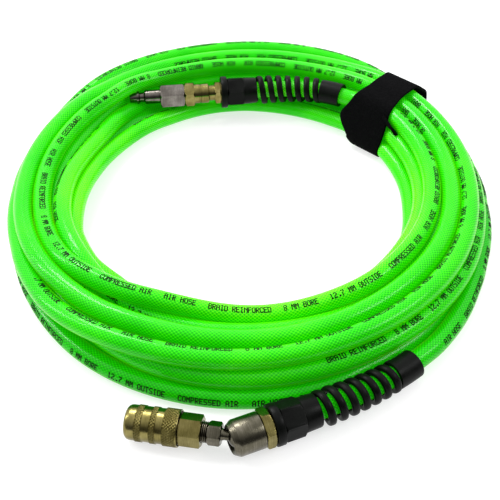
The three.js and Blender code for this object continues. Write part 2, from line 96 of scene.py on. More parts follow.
# where the strands rest in the bundle's cross-section: by angle, the (radius, height) of each
# turn from the first wound to the last
RESTS = {
    180: ((164.1, LOW), (151.4, LOW), (138.7, LOW), (126, LOW), (123.4, 18), (131.5, 28.6),
          (138.7, 18), (151.4, 18), (164.1, 19), (157.4, 29.8), (144.7, 29.6)),
    200: ((168, LOW), (155.2, LOW), (142.5, LOW), (130, LOW), (124.5, 12), (131, 21),
          (142.2, 18.4), (155, 18), (166.7, 20), (159, 30.2), (142, 31.5)),
    215: ((170, LOW), (157.2, LOW), (144.5, LOW), (131.8, LOW), (125.2, 11), (131, 20),
          (141, 18), (154, 17.6), (167, 21), (156.5, 29.6), (138, 31)),
    235: ((172, LOW), (159.2, LOW), (146.5, LOW), (133.7, LOW), (121, LOW), (129.3, 18),
          (148, 18), (161, 17.6), (166, 29), (152, 29), (133, 30.5)),
    270: ((173.6, LOW), (160.8, LOW), (148, LOW), (135.2, LOW), (122.5, LOW), (130.5, 18.3),
          (154.3, MID), (167.2, MID), (161.2, 28.5), (144.2, 25), (117.6, 18)),
    305: ((168.5, LOW), (155.8, LOW), (143, LOW), (130.3, LOW), (118, 12), (132.5, 18.5),
          (149.4, MID), (162.1, MID), (155.8, HIGH), (142, 27), (124.5, 25.5)),
    360: ((155.4, LOW), (142.8, LOW), (130.2, LOW), (117.8, LOW), (123.8, MID), (136.5, MID),
          (149.1, MID), (161.7, MID), (154, HIGH), (141.3, HIGH), (128.6, HIGH)),
    400: ((154.9, 8.8), (142.3, 8.8), (129.7, 8.8), (117.2, 8.8), (123.4, 19.8), (136, 19.8),
          (148.6, 19.8), (161.2, 19.8), (155, 30.7), (142.3, 30.7), (129.6, 30.7)),
    450: ((168.6, LOW), (155.9, LOW), (143.2, LOW), (130.5, LOW), (149.7, MID), (162.4, MID),
          (175.1, MID), (176, 29.4), (163, 29.4), (150, 29.4)),
    475: ((171, LOW), (158.2, LOW), (145.5, LOW), (132.8, LOW), (153, MID), (165.7, MID),
          (178.4, MID), (175.5, 29), (163, 29.6), (151, 30)),
    510: ((162, LOW), (149.2, LOW), (136.5, LOW), (124, LOW), (130.1, MID), (142.9, MID),
          (155.6, MID), (168.3, MID), (162, HIGH), (149.2, HIGH)),
}
# the (angle, radius, height) of the first turn, which comes down from the coupler's relief,
# and of the hose's last point, where it goes into the plug's relief
FIRST_TURN = ((FIRST_ANGLE, 178.3, 9.6), (-42, 175, 8.8), (-28, 169.3, LOW), (-15, 167, LOW),
              (0, 167, LOW), (40, 167.5, 8.8), (90, 181.3, LOW), (115, 181, LOW),
              (150, 174.7, LOW))
LAST_POINT = (LAST_ANGLE, 135.2, 27.6)
# how far the whole bundle stands out of those radii: (angle, distance)
SWELL = ((-10, 0), (0, 2), (10, 5), (20, 7.5), (40, 8.8), (55, 8.3), (65, 6), (75, 3), (90, 0),
         (115, -2.5), (125, -3), (140, -3), (165, -3), (180, -2), (200, 0))
# the bundle's edges: (angle, inner radius, outer radius)
EDGES = ((-50, 112, 187), (-40, 113, 181), (-30, 114, 177), (-20, 113, 175), (0, 113, 176),
         (10, 114, 180), (20, 115.5, 182.5), (40, 118.5, 183.5), (55, 119.5, 187.5),
         (65, 120.5, 189), (90, 123, 188.5), (100, 122.5, 188.5), (115, 120.5, 184.5),
         (125, 119, 181.5), (150, 114.5, 177), (165, 112, 172), (180, 113, 169), (200, 119, 169),
         (215, 119, 171.5), (225, 115, 174), (240, 112, 178), (270, 111, 181), (300, 112, 182),
         (310, 112, 187))

# how the strands settle, one round after another
SETTLE_ROUNDS, FREE_ROUNDS = 1400, 1100  # in the rounds after the free ones the pull is slight
PULL, LAST_PULL = 0.08, 0.02  # towards the resting place
SAG = 0.03
EVEN_OUT = 0.3  # towards the middle of the neighbours along the hose
SHARPEST = 0.8  # how far a station may stand from that middle
PUSH_ROUNDS = 2  # in each round of settling
PUSH_APART, CLEARANCE = 0.42, 0.04
FAR_AWAY = 500

STRAP_ANGLE = 42
STRAP_HEADING = 48  # the strap lies a little askew across the strands
STRAP_RADIUS = 151
STRAP_W = 37
STRAP_T = 2.0
STRAP_REACH = 60  # from the strap's middle to beyond the bundle's edges
STRAP_COVERS = STRAP_W / 2 + 2  # each way across, a little more than the strap's width
STRAP_SECTOR = 13  # degrees each way in which the bundle lies on the strap
STRAP_GATHER = 4.5  # how far each edge is drawn in where the strap is pulled tight
STRAP_LIFTED = 15  # how far one edge is drawn up where it comes out from under the hose
STRAP_SPREAD = 5  # and how far it spreads above that


def relief_axis(s, bend, rise):
    """Points on a strain relief's centreline at the distances s behind its front face."""
    s = np.asarray(s, float)
    run = np.clip(s - NUT, 0, GUARD)
    tail = np.maximum(s - NUT - GUARD, 0)
    k = math.radians(bend) / GUARD
    u = run / GUARD
    x = np.minimum(s, NUT) + np.sin(k * run) / k + tail * np.cos(k * run)
    y = (1 - np.cos(k * run)) / k + tail * np.sin(k * run)
    return np.stack([x, y, rise * u * u * (3 - 2 * u)], axis=-1)


def placed(points, position, heading):
    """Points of a fitting's own frame, moved to its place on the coil."""
    c, s = math.cos(math.radians(heading)), math.sin(math.radians(heading))
    x, y, z = np.asarray(points, float).T
    return np.stack([position[0] + c * x - s * y, position[1] + s * x + c * y,
                     position[2] + z], axis=-1)


def end_points(end):
    """The hose's centreline inside one strain relief."""
    position, heading, bend, rise = end
    return placed(relief_axis(np.arange(HOSE_START, NUT + GUARD, RELIEF_SPACING), bend, rise),
                  position, heading)


def obstacles(stations):
    """The fittings that the strands pass, as discs (radius, height, size) at each station."""
    half_station, nowhere = STEP / 2 + 0.1, (1e4, 1e4, 0)
    discs = []
    for (position, heading, bend, rise), parts in ((COUPLER_END, RELIEF),
                                                  (PLUG_END, RELIEF + PLUG)):
        for s0, s1, size in parts:
            s = np.arange(s0, s1, DISC_SPACING)
            local = relief_axis(np.maximum(s, 0), bend, rise)
            local[:, 0] += np.minimum(s, 0)
            discs += [(math.degrees(math.atan2(y, x)), math.hypot(x, y), z, size)
                      for x, y, z in placed(local, position, heading)]
    near = [[d[1:] for d in discs if abs((d[0] - t + 180) % 360 - 180) < half_station]
            for t in stations]
    most = max(len(n) for n in near)
    return np.array([n + [nowhere] * (most - len(n)) for n in near]).transpose(1, 2, 0)


def wind():
    """The coil's centreline: each strand is drawn to where it rests in the bundle, pushed off
    the strands and fittings that it meets, and kept smooth along its length."""
    per_turn = 360 // STEP
    angle = np.arange(FIRST_ANGLE, LAST_ANGLE + 1, STEP)
    knots = sorted([(at + 360 * i, *rest) for at, rests in RESTS.items()
                    for i, rest in enumerate(rests)] + list(FIRST_TURN) + [LAST_POINT])
    knots = np.array([k for k in knots if k[0] <= LAST_ANGLE - END_GAP or k[0] == LAST_ANGLE])
    goal = np.stack([np.interp(angle, knots[:, 0], knots[:, i]) for i in (1, 2)])
    goal[0, 1:-1] += np.interp(angle, *np.array(SWELL).T, period=360)[1:-1]
    count = len(angle)
    rows = math.ceil(count / per_turn)
    spare = rows * per_turn - count
    discs = obstacles((angle[:per_turn] + 180) % 360 - 180)
    edges = np.array(EDGES, float)
    turned = (angle - FIRST_ANGLE) % 360 + FIRST_ANGLE
    inner, outer = (np.interp(turned, edges[:, 0], edges[:, i]) for i in (1, 2))
    over_strap = np.abs(turned - STRAP_ANGLE) < STRAP_SECTOR
    floor = HOSE_R + np.where(over_strap, STRAP_T + 0.4, 0.1)
    itself = np.eye(rows, dtype=bool)[:, :, None]
    p = goal.copy()
    for settled in range(SETTLE_ROUNDS):
        p += (LAST_PULL if settled > FREE_ROUNDS else PULL) * (goal - p)
        p[1] -= SAG
        p[:, 1:-1] += EVEN_OUT * ((p[:, :-2] + p[:, 2:]) / 2 - p[:, 1:-1])
        g = np.pad(p, ((0, 0), (0, spare)), constant_values=-FAR_AWAY)
        g = g.reshape(2, rows, per_turn)
        for _ in range(PUSH_ROUNDS):
            d = g[:, :, None] - g[:, None]
            dist = np.hypot(*d) + 1e-9
            push = np.maximum(2 * HOSE_R + CLEARANCE - dist, 0) * PUSH_APART
            push[np.broadcast_to(itself, push.shape)] = 0
            g += (push * d / dist).sum(axis=2)
            d = g[:, :, None] - discs[:, :2].transpose(1, 0, 2)[:, None]
            dist = np.hypot(*d) + 1e-9
            push = np.maximum(discs[:, 2] + HOSE_R - dist, 0)
            best = push == push.max(axis=1, keepdims=True)
            g += (push * best * d / dist).sum(axis=2) / best.sum(axis=1)
        p = g.reshape(2, -1)[:, :count].copy()
        p[0] = np.clip(p[0], inner + HOSE_R, outer - HOSE_R)
        p[1] = np.maximum(p[1], floor)
        bend = (p[:, :-2] + p[:, 2:]) / 2 - p[:, 1:-1]
        size = np.hypot(*bend) + 1e-9
        p[:, 1:-1] += bend * np.maximum(1 - SHARPEST / size, 0)
        p[:, [0, -1]] = goal[:, [0, -1]]
    t = np.radians(angle)
    return np.stack([p[0] * np.cos(t), p[0] * np.sin(t), p[1]], axis=-1)


def smooth_line(points, spacing):
    """A Catmull-Rom line through the points, sampled evenly: its points, and their distances
    along it."""
    p = np.vstack([2 * points[0] - points[1], points, 2 * points[-1] - points[-2]])
    fine = []
    for i in range(1, len(p) - 2):
        t = np.linspace(0, 1, LINE_STEPS, endpoint=False)[:, None]
        a, b, c, d = p[i - 1], p[i], p[i + 1], p[i + 2]
        fine.append(0.5 * (2 * b + (c - a) * t + (2 * a - 5 * b + 4 * c - d) * t ** 2
                           + (3 * b - a - 3 * c + d) * t ** 3))
    fine = np.vstack(fine + [p[-2:-1]])
    run = np.concatenate([[0], np.cumsum(np.linalg.norm(np.diff(fine, axis=0), axis=1))])
    even = np.linspace(0, run[-1], round(run[-1] / spacing) + 1)
    return np.stack([np.interp(even, run, fine[:, i]) for i in range(3)], axis=-1), even


coil = wind()
# the hose's centreline, and at each of its points the directions along, beside and above it
route = np.vstack([end_points(COUPLER_END), coil, end_points(PLUG_END)[::-1]]) + COIL_CENTRE
line, along = smooth_line(route, ROUTE_SPACING)
heading = np.gradient(line, axis=0)
heading /= np.linalg.norm(heading, axis=1)[:, None]
side = np.cross(heading, (0, 0, 1))
side /= np.linalg.norm(side, axis=1)[:, None]
up = np.cross(side, heading)
HOSE_LENGTH = along[-1]

# ---------------------------------------------------------------- mesh helpers


def add(name, verts, faces, uvs=None, smooth=True):
    """A mesh object from points in millimetres."""
    mesh = bpy.data.meshes.new(name)
    mesh.from_pydata([tuple(v) for v in np.asarray(verts, float) * MM], [], faces)
    if uvs is not None:
        layer = mesh.uv_layers.new(name="UVMap")
        layer.data.foreach_set("uv", np.asarray(uvs, np.float32).ravel())
    mesh.polygons.foreach_set("use_smooth", [smooth] * len(mesh.polygons))
    mesh.update()
    obj = bpy.data.objects.new(name, mesh)
    bpy.context.scene.collection.objects.link(obj)
    return obj


def tube_faces(rings, sides, closed):
    """Faces of a tube of rings, each with that many points. A closed tube's last ring is joined
    to its first, and an open one has a face over each end."""
    last = (rings - 1) * sides
    i = np.arange(rings if closed else rings - 1)[:, None] * sides
    n = (i + sides) % (rings * sides)
    j = np.arange(sides)
    k = (j + 1) % sides
    quads = np.stack([i + j, i + k, n + k, n + j], axis=-1).reshape(-1, 4)
    caps = [] if closed else [tuple(range(sides))[::-1], tuple(range(last, last + sides))]
    return [tuple(quad) for quad in quads.tolist()] + caps


def corners_smooth(obj, degrees):
    """Smooth shading, with edges sharper than this kept sharp."""
    bm = bmesh.new()
    bm.from_mesh(obj.data)
    bmesh.ops.recalc_face_normals(bm, faces=bm.faces)
    for edge in bm.edges:
        edge.smooth = len(edge.link_faces) == 2 and edge.calc_face_angle() < math.radians(degrees)
    for face in bm.faces:
        face.smooth = True
    bm.to_mesh(obj.data)
    bm.free()


strap_turn, strap_out_turn = math.radians(STRAP_ANGLE), math.radians(STRAP_HEADING)
strap_middle = COIL_CENTRE[:2] + STRAP_RADIUS * np.array([math.cos(strap_turn),
                                                          math.sin(strap_turn)])
strap_out = np.array([math.cos(strap_out_turn), math.sin(strap_out_turn)])
strap_across = np.array([-math.sin(strap_out_turn), math.cos(strap_out_turn)])


def from_strap(points):
    """How far points lie from the strap's middle, outwards through the bundle and across the
    strap's width."""
    flat = points[..., :2] - strap_middle
    return flat @ strap_out, flat @ strap_across


# ---------------------------------------------------------------- hose

HOSE_SIDES = 28
BORE_STATIONS = 5  # how far the bore reaches in at each end
EDGE_R = HOSE_R - 0.5  # the cut end's face, inside its worn edge


def hose_tube():
    """The hose as one tube, bored at both ends. Its UV is the distance along it in metres, and
    the share of a turn round it."""
    a = np.arange(HOSE_SIDES) / HOSE_SIDES * 2 * math.pi
    last = len(line) - 1
    bore_in = list(range(BORE_STATIONS, -1, -1))
    bore_out = list(range(last, last - BORE_STATIONS - 1, -1))
    stations = ([(i, BORE_R) for i in bore_in] + [(0, EDGE_R)]
                + [(i, HOSE_R) for i in range(last + 1)]
                + [(last, EDGE_R)] + [(i, BORE_R) for i in bore_out])
    verts = np.vstack([line[i] + r * (np.cos(a)[:, None] * side[i] + np.sin(a)[:, None] * up[i])
                       for i, r in stations])
    u = np.array([along[i] for i, _ in stations])
    i = np.arange(len(stations) - 1)[:, None] * np.ones(HOSE_SIDES, int)
    v = np.ones((len(stations) - 1, 1)) * np.arange(HOSE_SIDES) / HOSE_SIDES
    w = 1 / HOSE_SIDES
    uv = np.stack([np.stack([u[i], v], -1), np.stack([u[i], v + w], -1),
                   np.stack([u[i + 1], v + w], -1), np.stack([u[i + 1], v], -1)], axis=2)
    uv = np.vstack([uv.reshape(-1, 2) * (MM, 1), np.zeros((2 * HOSE_SIDES, 2))])
    return add("hose", verts, tube_faces(len(stations), HOSE_SIDES, closed=False), uv)


hose = hose_tube()

# ---------------------------------------------------------------- materials


class Shader:
    """A node material with short ways to make its nodes."""

    def __init__(self, name, **sockets):
        self.material = bpy.data.materials.new(name)
        self.material.use_nodes = True
        self.tree = self.material.node_tree
        self.bsdf = self.tree.nodes["Principled BSDF"]
        self.set(**sockets)

    def set(self, **sockets):
        for key, value in sockets.items():
            socket = self.bsdf.inputs[key.replace("_", " ")]
            if isinstance(value, bpy.types.NodeSocket):
                self.tree.links.new(value, socket)
            else:
                socket.default_value = value

    def node(self, kind, *inputs, out=0, **props):
        n = self.tree.nodes.new(kind)
        for key, value in props.items():
            setattr(n, key, value)
        for i, value in enumerate(inputs):
            if isinstance(value, bpy.types.NodeSocket):
                self.tree.links.new(value, n.inputs[i])
            elif value is not None:
                n.inputs[i].default_value = value
        return n.outputs[out]

    def math(self, operation, *inputs):
        return self.node("ShaderNodeMath", *inputs, operation=operation)

    def place(self):
        """Object coordinates, in metres."""
        return self.node("ShaderNodeTexCoord", out=3)

    def uv(self):
        return self.node("ShaderNodeTexCoord", out=2)

    def noise(self, scale, detail, roughness):
        return self.node("ShaderNodeTexNoise", self.place(), None, scale, detail, roughness)

    def ramp(self, value, *stops):
        n = self.tree.nodes.new("ShaderNodeValToRGB")
        self.tree.links.new(value, n.inputs[0])
        while len(n.color_ramp.elements) < len(stops):
            n.color_ramp.elements.new(0.5)
        for element, (at, colour) in zip(n.color_ramp.elements, stops):
            element.position = at
            element.color = (*colour, 1)
        return n.outputs[0]

    def remap(self, value, low, high, to_low=0.0, to_high=1.0):
        return self.node("ShaderNodeMapRange", value, low, high, to_low, to_high)

    def bump(self, height, strength, distance):
        n = self.tree.nodes.new("ShaderNodeBump")
        n.inputs["Strength"].default_value = strength
        n.inputs["Distance"].default_value = distance
        self.tree.links.new(height, n.inputs["Height"])
        return n.outputs[0]

    def axis(self, origin, direction):
        """The distance along an axis, for marks that run round it."""
        p = self.node("ShaderNodeVectorMath", self.place(), tuple(origin), operation="SUBTRACT")
        return self.node("ShaderNodeVectorMath", p, tuple(direction), out=1,
                         operation="DOT_PRODUCT")


BRAID_WRAPS, BRAID_LEAD = 18, 0.047  # yarns each way round the hose, and metres for a full turn


def hose_material():
    """Glossy green jacket, with the braid in its colour and its surface, a faint painted glow,
    and painted light and shade by where each strand lies in the bundle.
    """
    # painted glow: the faint green emission is partly the jacket's own fluorescence and partly
    # stands in for light that comes through the strands into their creases
    m = Shader("hose_jacket", Roughness=0.2, IOR=1.45, Specular_IOR_Level=0.16,
               Coat_Weight=0.12, Coat_Roughness=0.06, Subsurface_Weight=0.3,
               Subsurface_Scale=0.004, Subsurface_Radius=(0.3, 1.0, 0.02), Sheen_Weight=0.3,
               Sheen_Roughness=0.3, Sheen_Tint=(0.75, 1.0, 0.0, 1),
               Emission_Color=(0.02, 1.0, 0.0, 1), Emission_Strength=0.14)
    u = m.node("ShaderNodeSeparateXYZ", m.uv())
    v = u.node.outputs[1]
    turn = m.math("MULTIPLY", v, 2 * math.pi * BRAID_WRAPS)
    run = m.math("MULTIPLY", u, 2 * math.pi * BRAID_WRAPS / BRAID_LEAD)
    one = m.math("SINE", m.math("ADD", run, turn))
    two = m.math("SINE", m.math("SUBTRACT", run, turn))
    cover = m.remap(m.math("MAXIMUM", one, two), -0.6, 0.75)
    knot = m.remap(m.math("MINIMUM", one, two), 0.2, 0.95)
    cloud = m.noise(22, 3, 0.6)
    level = m.math("ADD", m.math("MULTIPLY", cover, 0.52), m.math("MULTIPLY", knot, 0.3))
    level = m.math("ADD", level, m.math("MULTIPLY", m.math("SUBTRACT", cloud, 0.42), 0.6))
    away = m.node("ShaderNodeVectorMath", m.place(), tuple(COIL_CENTRE * MM),
                  operation="SUBTRACT")
    height = m.node("ShaderNodeSeparateXYZ", away, out=2)
    flat = m.node("ShaderNodeVectorMath", away, (1, 1, 0), operation="MULTIPLY")
    radius = m.node("ShaderNodeVectorMath", flat, out=1, operation="LENGTH")
    # painted light and shade: strands on the inside are painted lighter, for the light that comes
    # through them, and the lowest ones are painted darker, for the little light that reaches them
    inside = m.remap(radius, 0.134, 0.120)
    low_painted_shade = m.remap(height, 0.024, 0.006)
    painted_light_and_shade = m.math("SUBTRACT", m.math("MULTIPLY", inside, 0.42),
                   m.math("MULTIPLY", low_painted_shade, 0.36))
    colour = m.ramp(m.math("ADD", level, painted_light_and_shade), (0.0, (0.002, 0.27, 0.001)),
                    (0.3, (0.006, 0.43, 0.0012)), (0.5, (0.012, 0.57, 0.0015)),
                    (0.75, (0.05, 0.68, 0.002)), (1.0, (0.16, 0.80, 0.004)))
    m.set(Base_Color=colour, Normal=m.bump(level, 0.25, 0.0003))
    return m.material


def strap_material():
    """Black loop fabric: a fine pile, worn in places."""
    m = Shader("strap_loop", Roughness=0.95, Sheen_Weight=0.02, Sheen_Roughness=0.5,
               Sheen_Tint=(0.35, 0.33, 0.37, 1), Specular_IOR_Level=0.04)
    fibres = m.noise(1500, 4, 0.7)
    loops = m.noise(420, 3, 0.6)
    wear = m.noise(40, 2, 0.5)
    level = m.math("MULTIPLY", fibres, m.math("ADD", loops, 0.3))
    level = m.math("ADD", level, m.math("MULTIPLY", wear, 0.15))
    colour = m.ramp(level, (0.2, (0.0008, 0.0008, 0.001)), (0.55, (0.0022, 0.0022, 0.0025)),
                    (0.85, (0.008, 0.0075, 0.0085)))
    m.set(Base_Color=colour, Normal=m.bump(level, 0.9, 0.0012))
    return m.material


def relief_material():
    """Black moulded plastic, scuffed."""
    m = Shader("relief_plastic", Roughness=0.4, IOR=1.45, Specular_IOR_Level=0.1)
    grain = m.noise(900, 3, 0.6)
    scuff = m.noise(60, 4, 0.65)
    colour = m.ramp(scuff, (0.35, (0.0012, 0.0015, 0.0012)), (0.7, (0.004, 0.0048, 0.004)))
    m.set(Base_Color=colour, Roughness=m.remap(scuff, 0.3, 0.7, 0.30, 0.48),
          Normal=m.bump(grain, 0.25, 0.0002))
    return m.material


TOOL_MARKS = 2600.0  # marks of the lathe's tool, in each metre along a fitting


def metal(name, colours, place, rough, bands=()):
    """Turned metal: fine rings round its axis, stains and small scratches; painted darker in
    bands, as painted shade for the grooves of a knurl.
    """
    m = Shader(name, Metallic=1.0, Anisotropic=0.4)
    x = m.axis(place[0] * MM, place[1][0])
    marks = m.node("ShaderNodeTexNoise", None, m.math("MULTIPLY", x, TOOL_MARKS), 1.0, 3.0, 0.7,
                   noise_dimensions="1D")
    stain = m.noise(130, 4, 0.6)
    scratch = m.noise(900, 2, 0.5)
    level = m.math("ADD", m.math("MULTIPLY", marks, 0.45), m.math("MULTIPLY", stain, 0.55))
    # painted shade: each knurled band is painted darker, for the shade in its grooves
    for x0, x1 in bands:
        inside = m.math("MULTIPLY", m.math("GREATER_THAN", x, x0 * MM),
                        m.math("LESS_THAN", x, x1 * MM))
        level = m.math("SUBTRACT", level, m.math("MULTIPLY", inside, 0.14))
    colour = m.ramp(level, *zip((0.3, 0.5, 0.7), colours))
    height = m.math("ADD", marks, m.math("MULTIPLY", scratch, 0.3))
    m.set(Base_Color=colour, Roughness=m.remap(level, 0.3, 0.7, rough[1], rough[0]),
          Normal=m.bump(height, 0.5, 0.00005))
    return m.material


# dark, middle and bright tones of each metal
BRASS = ((0.09, 0.075, 0.02), (0.20, 0.17, 0.055), (0.36, 0.31, 0.13))
NICKEL = ((0.045, 0.042, 0.03), (0.10, 0.092, 0.065), (0.22, 0.20, 0.16))
STEEL = ((0.07, 0.062, 0.055), (0.14, 0.125, 0.11), (0.30, 0.275, 0.25))


def plain(name, low, high, rough, scale=300, specular=0.5):
    """A speckled material between two colours."""
    m = Shader(name, Roughness=rough, Specular_IOR_Level=specular)
    spots = m.noise(scale, 3, 0.6)
    m.set(Base_Color=m.ramp(spots, (0.35, low), (0.65, high)),
          Normal=m.bump(spots, 0.2, 0.0002))
    return m.material


def turned_frame(position, heading):
    """A fitting's origin in millimetres, and its three axes: x along it, towards the hose."""
    c, s = math.cos(math.radians(heading)), math.sin(math.radians(heading))
    return np.array(position) + COIL_CENTRE, np.array([[c, s, 0], [-s, c, 0], [0, 0, 1]])


SWIVEL_FRAME = turned_frame(*COUPLER_END[:2])
PLUG_FRAME = turned_frame(*PLUG_END[:2])
# the coupler points a little down and away from the hose's line; its origin is its front
BALL_X, BALL_R = 65.4, 6.6
COUPLER_AXES = np.array([[0.982337, -0.183839, 0.034899], [0.183951, 0.982935, 0],
                         [-0.034304, 0.00642, 0.999391]])
COUPLER_FRAME = (BALL + COIL_CENTRE - BALL_X * COUPLER_AXES[0], COUPLER_AXES)
BANDS = ((6.4, 10.2), (15.0, 18.3), (22.6, 30.6))  # the sleeve's knurled bands: from, to

jacket = hose_material()
strap_cloth = strap_material()
relief_plastic = relief_material()
coupler_brass = metal("coupler_brass", BRASS, COUPLER_FRAME, (0.15, 0.3), bands=BANDS)
stem_brass = metal("stem_brass", BRASS, SWIVEL_FRAME, (0.15, 0.28))
plug_brass = metal("plug_brass", BRASS, PLUG_FRAME, (0.12, 0.26))
swivel_nickel = metal("swivel_nickel", NICKEL, SWIVEL_FRAME, (0.2, 0.34))
tail_nickel = metal("tail_nickel", NICKEL, COUPLER_FRAME, (0.16, 0.3))
inner_steel = metal("inner_steel", STEEL, COUPLER_FRAME, (0.15, 0.3))
plug_steel = metal("plug_steel", STEEL, PLUG_FRAME, (0.1, 0.22))
seal_rubber = plain("seal_rubber", (0.008, 0.008, 0.008), (0.02, 0.02, 0.02), 0.6)
pale_plastic = plain("pale_plastic", (0.55, 0.53, 0.48), (0.72, 0.70, 0.65), 0.4)
ink = plain("ink", (0.0008, 0.002, 0.0008), (0.002, 0.006, 0.002), 0.7, 700, specular=0.1)

FINISHES = {
    relief_plastic: ("coupler_relief_nut", "plug_relief_nut"),
    coupler_brass: ("coupler_socket", "coupler_adapter", "coupler_sleeve", "valve_guide"),
    stem_brass: ("coupler_hose_stem",),
    plug_brass: ("plug_hose_stem", "swivel_barrel"),
    swivel_nickel: ("swivel_housing",),
    tail_nickel: ("swivel_stem",),
    inner_steel: ("sleeve_stop_ring", "sleeve_spring", "valve_spring",
                  *(f"locking_ball_{i + 1}" for i in range(6))),
    plug_steel: ("air_plug", "swivel_snap_ring"),
    seal_rubber: ("plug_seal", "swivel_o_ring"),
    pale_plastic: ("coupler_collet", "plug_collet", "ball_seat", "valve_poppet"),
    jacket: ("hose_coil", "coupler_lead", "plug_lead"),
    strap_cloth: ("strap_band", "strap_hook_tab"),
}
for finish, names in FINISHES.items():
    for name in names:
        nodes[name].data.materials.clear()
        nodes[name].data.materials.append(finish)

# ---------------------------------------------------------------- fittings


def revolved(name, profile, place, node, body, finish, segments=96, grooves=None, edge=30):
    """A turned piece that stands for a CAD node. profile is a closed outline of (x, radius), or
    (x, radius, flats) where the bar is hexagonal; grooves(x, radius, angles) is how much the
    radius changes; edges sharper than edge degrees stay sharp."""
    origin, axes = place
    a = np.arange(segments) / segments * 2 * math.pi
    to_flat = np.cos((a + math.pi / 6) % (math.pi / 3) - math.pi / 6)
    verts = []
    for x, r, *flats in profile:
        radius = np.full(segments, float(r))
        if flats:
            radius = np.minimum(radius, flats[0] / 2 / to_flat)
        if grooves is not None:
            radius = radius + grooves(x, r, a)
        verts.append(np.stack([np.full(segments, x), radius * np.cos(a), radius * np.sin(a)],
                              axis=-1))
    obj = add(name, origin + np.vstack(verts) @ axes,
              tube_faces(len(profile), segments, closed=True))
    corners_smooth(obj, edge)
    obj.data.materials.append(finish)
    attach(obj, body)
    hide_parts(node)
    return obj


def hexagon(x0, x1, flats, chamfer):
    """The outline of a hexagonal bar between x0 and x1, its corners chamfered."""
    face, corner = flats * 0.515, flats / math.sqrt(3)
    return [(x0, face - 0.3, flats), (x0 + 0.15, face, flats),
            (x0 + chamfer, (face + corner) / 2, flats), (x0 + 1.6 * chamfer, corner, flats),
            (x1 - 1.6 * chamfer, corner, flats), (x1 - chamfer, (face + corner) / 2, flats),
            (x1 - 0.15, face, flats), (x1, face - 0.3, flats)]


def thread(x0, x1, r, pitch, depth):
    """The outline of a thread's ridges between x0 and x1."""
    count = round((x1 - x0) / pitch)
    step = (x1 - x0) / count
    ridges = [(x0, r - depth)]
    for i in range(count):
        x = x0 + i * step
        ridges += [(x + 0.38 * step, r), (x + 0.62 * step, r), (x + step, r - depth)]
    return ridges


KNURLS = 34  # grooves each way round the sleeve
KNURL_LONG, KNURL_DEEP = 1.95, 0.34
KNURL_MARGIN = 0.3
KNURL_STEP = 0.225


def knurl(x, r, a):
    """Crossed grooves in the sleeve's raised bands."""
    if not any(x0 + KNURL_MARGIN < x < x1 - KNURL_MARGIN for x0, x1 in BANDS) or r < 10.55:
        return 0

    def groove(t):
        return KNURL_DEEP * (1 - np.minimum(1, 3.4 * np.abs(t % 1 - 0.5)))
    turn, run = a / (2 * math.pi) * KNURLS, x / KNURL_LONG
    return -groove(turn + run) - groove(turn - run)


def band(x0, x1, r):
    """The outline of a knurled band, with enough points for its grooves."""
    return [(x, r) for x in np.arange(x0, x1, KNURL_STEP)] + [(x1, r)]


revolved("coupler_sleeve_turned", [
    (0, 8.15), (0, 8.6), (0.35, 9.05), (0.8, 9.5), (1.4, 9.85), (2.2, 10.1), (3.0, 10.2),
    (6.1, 10.2), *band(*BANDS[0], 10.6), (10.45, 10.2), (14.75, 10.2), *band(*BANDS[1], 10.6),
    (18.55, 10.2), (22.3, 10.2), *band(*BANDS[2], 10.9), (31.0, 10.6), (31.0, 10.05),
    (27.2, 10.05), (27.2, 9.35), (17.0, 9.35), (17.0, 8.15), (13.0, 8.15), (9.5, 9.45),
    (2.6, 9.45), (1.2, 8.15)], COUPLER_FRAME, "coupler_sleeve", "sleeve",
    coupler_brass, segments=300, grooves=knurl, edge=50)

revolved("coupler_adapter_hex", [
    (24.3, 6.95), (24.3, 8.7), (24.6, 9.0), (31.0, 9.0), *hexagon(31.0, 44.0, 16.8, 0.5),
    (44.0, 6.45), (33.6, 6.45), (33.6, 4.6), (30.4, 4.6), (30.4, 6.95)],
    COUPLER_FRAME, "coupler_adapter", "coupler", coupler_brass)

ball_points = [(BALL_X - BALL_R * math.cos(t), BALL_R * math.sin(t))
               for t in np.radians(np.linspace(27, 180 - 21.3, 30))]
revolved("swivel_stem_turned", [
    (35.0, AIR_R), (35.0, 5.4), (36.0, 6.0), *thread(40.0, 47.2, 6.1, 1.05, 0.6), (47.4, 5.2),
    *hexagon(47.4, 55.2, 12.2, 0.6), (55.2, 3.6), (56.8, 3.0), *ball_points],
    COUPLER_FRAME, "swivel_stem", "coupler", tail_nickel)

# the housing holds the ball with a round seat, whose widest place is at SEAT_X
SEAT_X, SEAT_R = -19.2, 6.9
socket_points = [(SEAT_X - x, math.sqrt(SEAT_R ** 2 - x ** 2)) for x in np.linspace(0, 3.2, 9)]
revolved("swivel_housing_turned", [
    (-25.2, 8.15), (-25.2, 8.4), (-24.9, 8.8), (-22.4, 10.45), (-22.0, 10.7), (-21.4, 10.85),
    (-7.1, 10.85), (-6.7, 10.7), (-6.5, 10.45), (-6.5, 6.45), (-11.2, 6.45), (-11.2, 7.3),
    (SEAT_X, 7.3), *socket_points],
    SWIVEL_FRAME, "swivel_housing", "hose", swivel_nickel)

# the tail of both hose stems: the nut's thread, and the barb in the hose
BARB = [(-0.3, 8.5), (8.8, 8.5), (8.8, 3.3), (11, 3.1), (11, 3.7), (16, 3.1), (16, 3.7),
        (21, 3.1), (21, 3.7), (28, 3.0), (28, AIR_R)]
revolved("coupler_hose_stem_hex", [
    (-10.9, AIR_R), (-10.9, 6.1), (-6.3, 6.1), *hexagon(-6.2, -0.3, 21.0, 0.6), *BARB],
    SWIVEL_FRAME, "coupler_hose_stem", "hose", stem_brass)

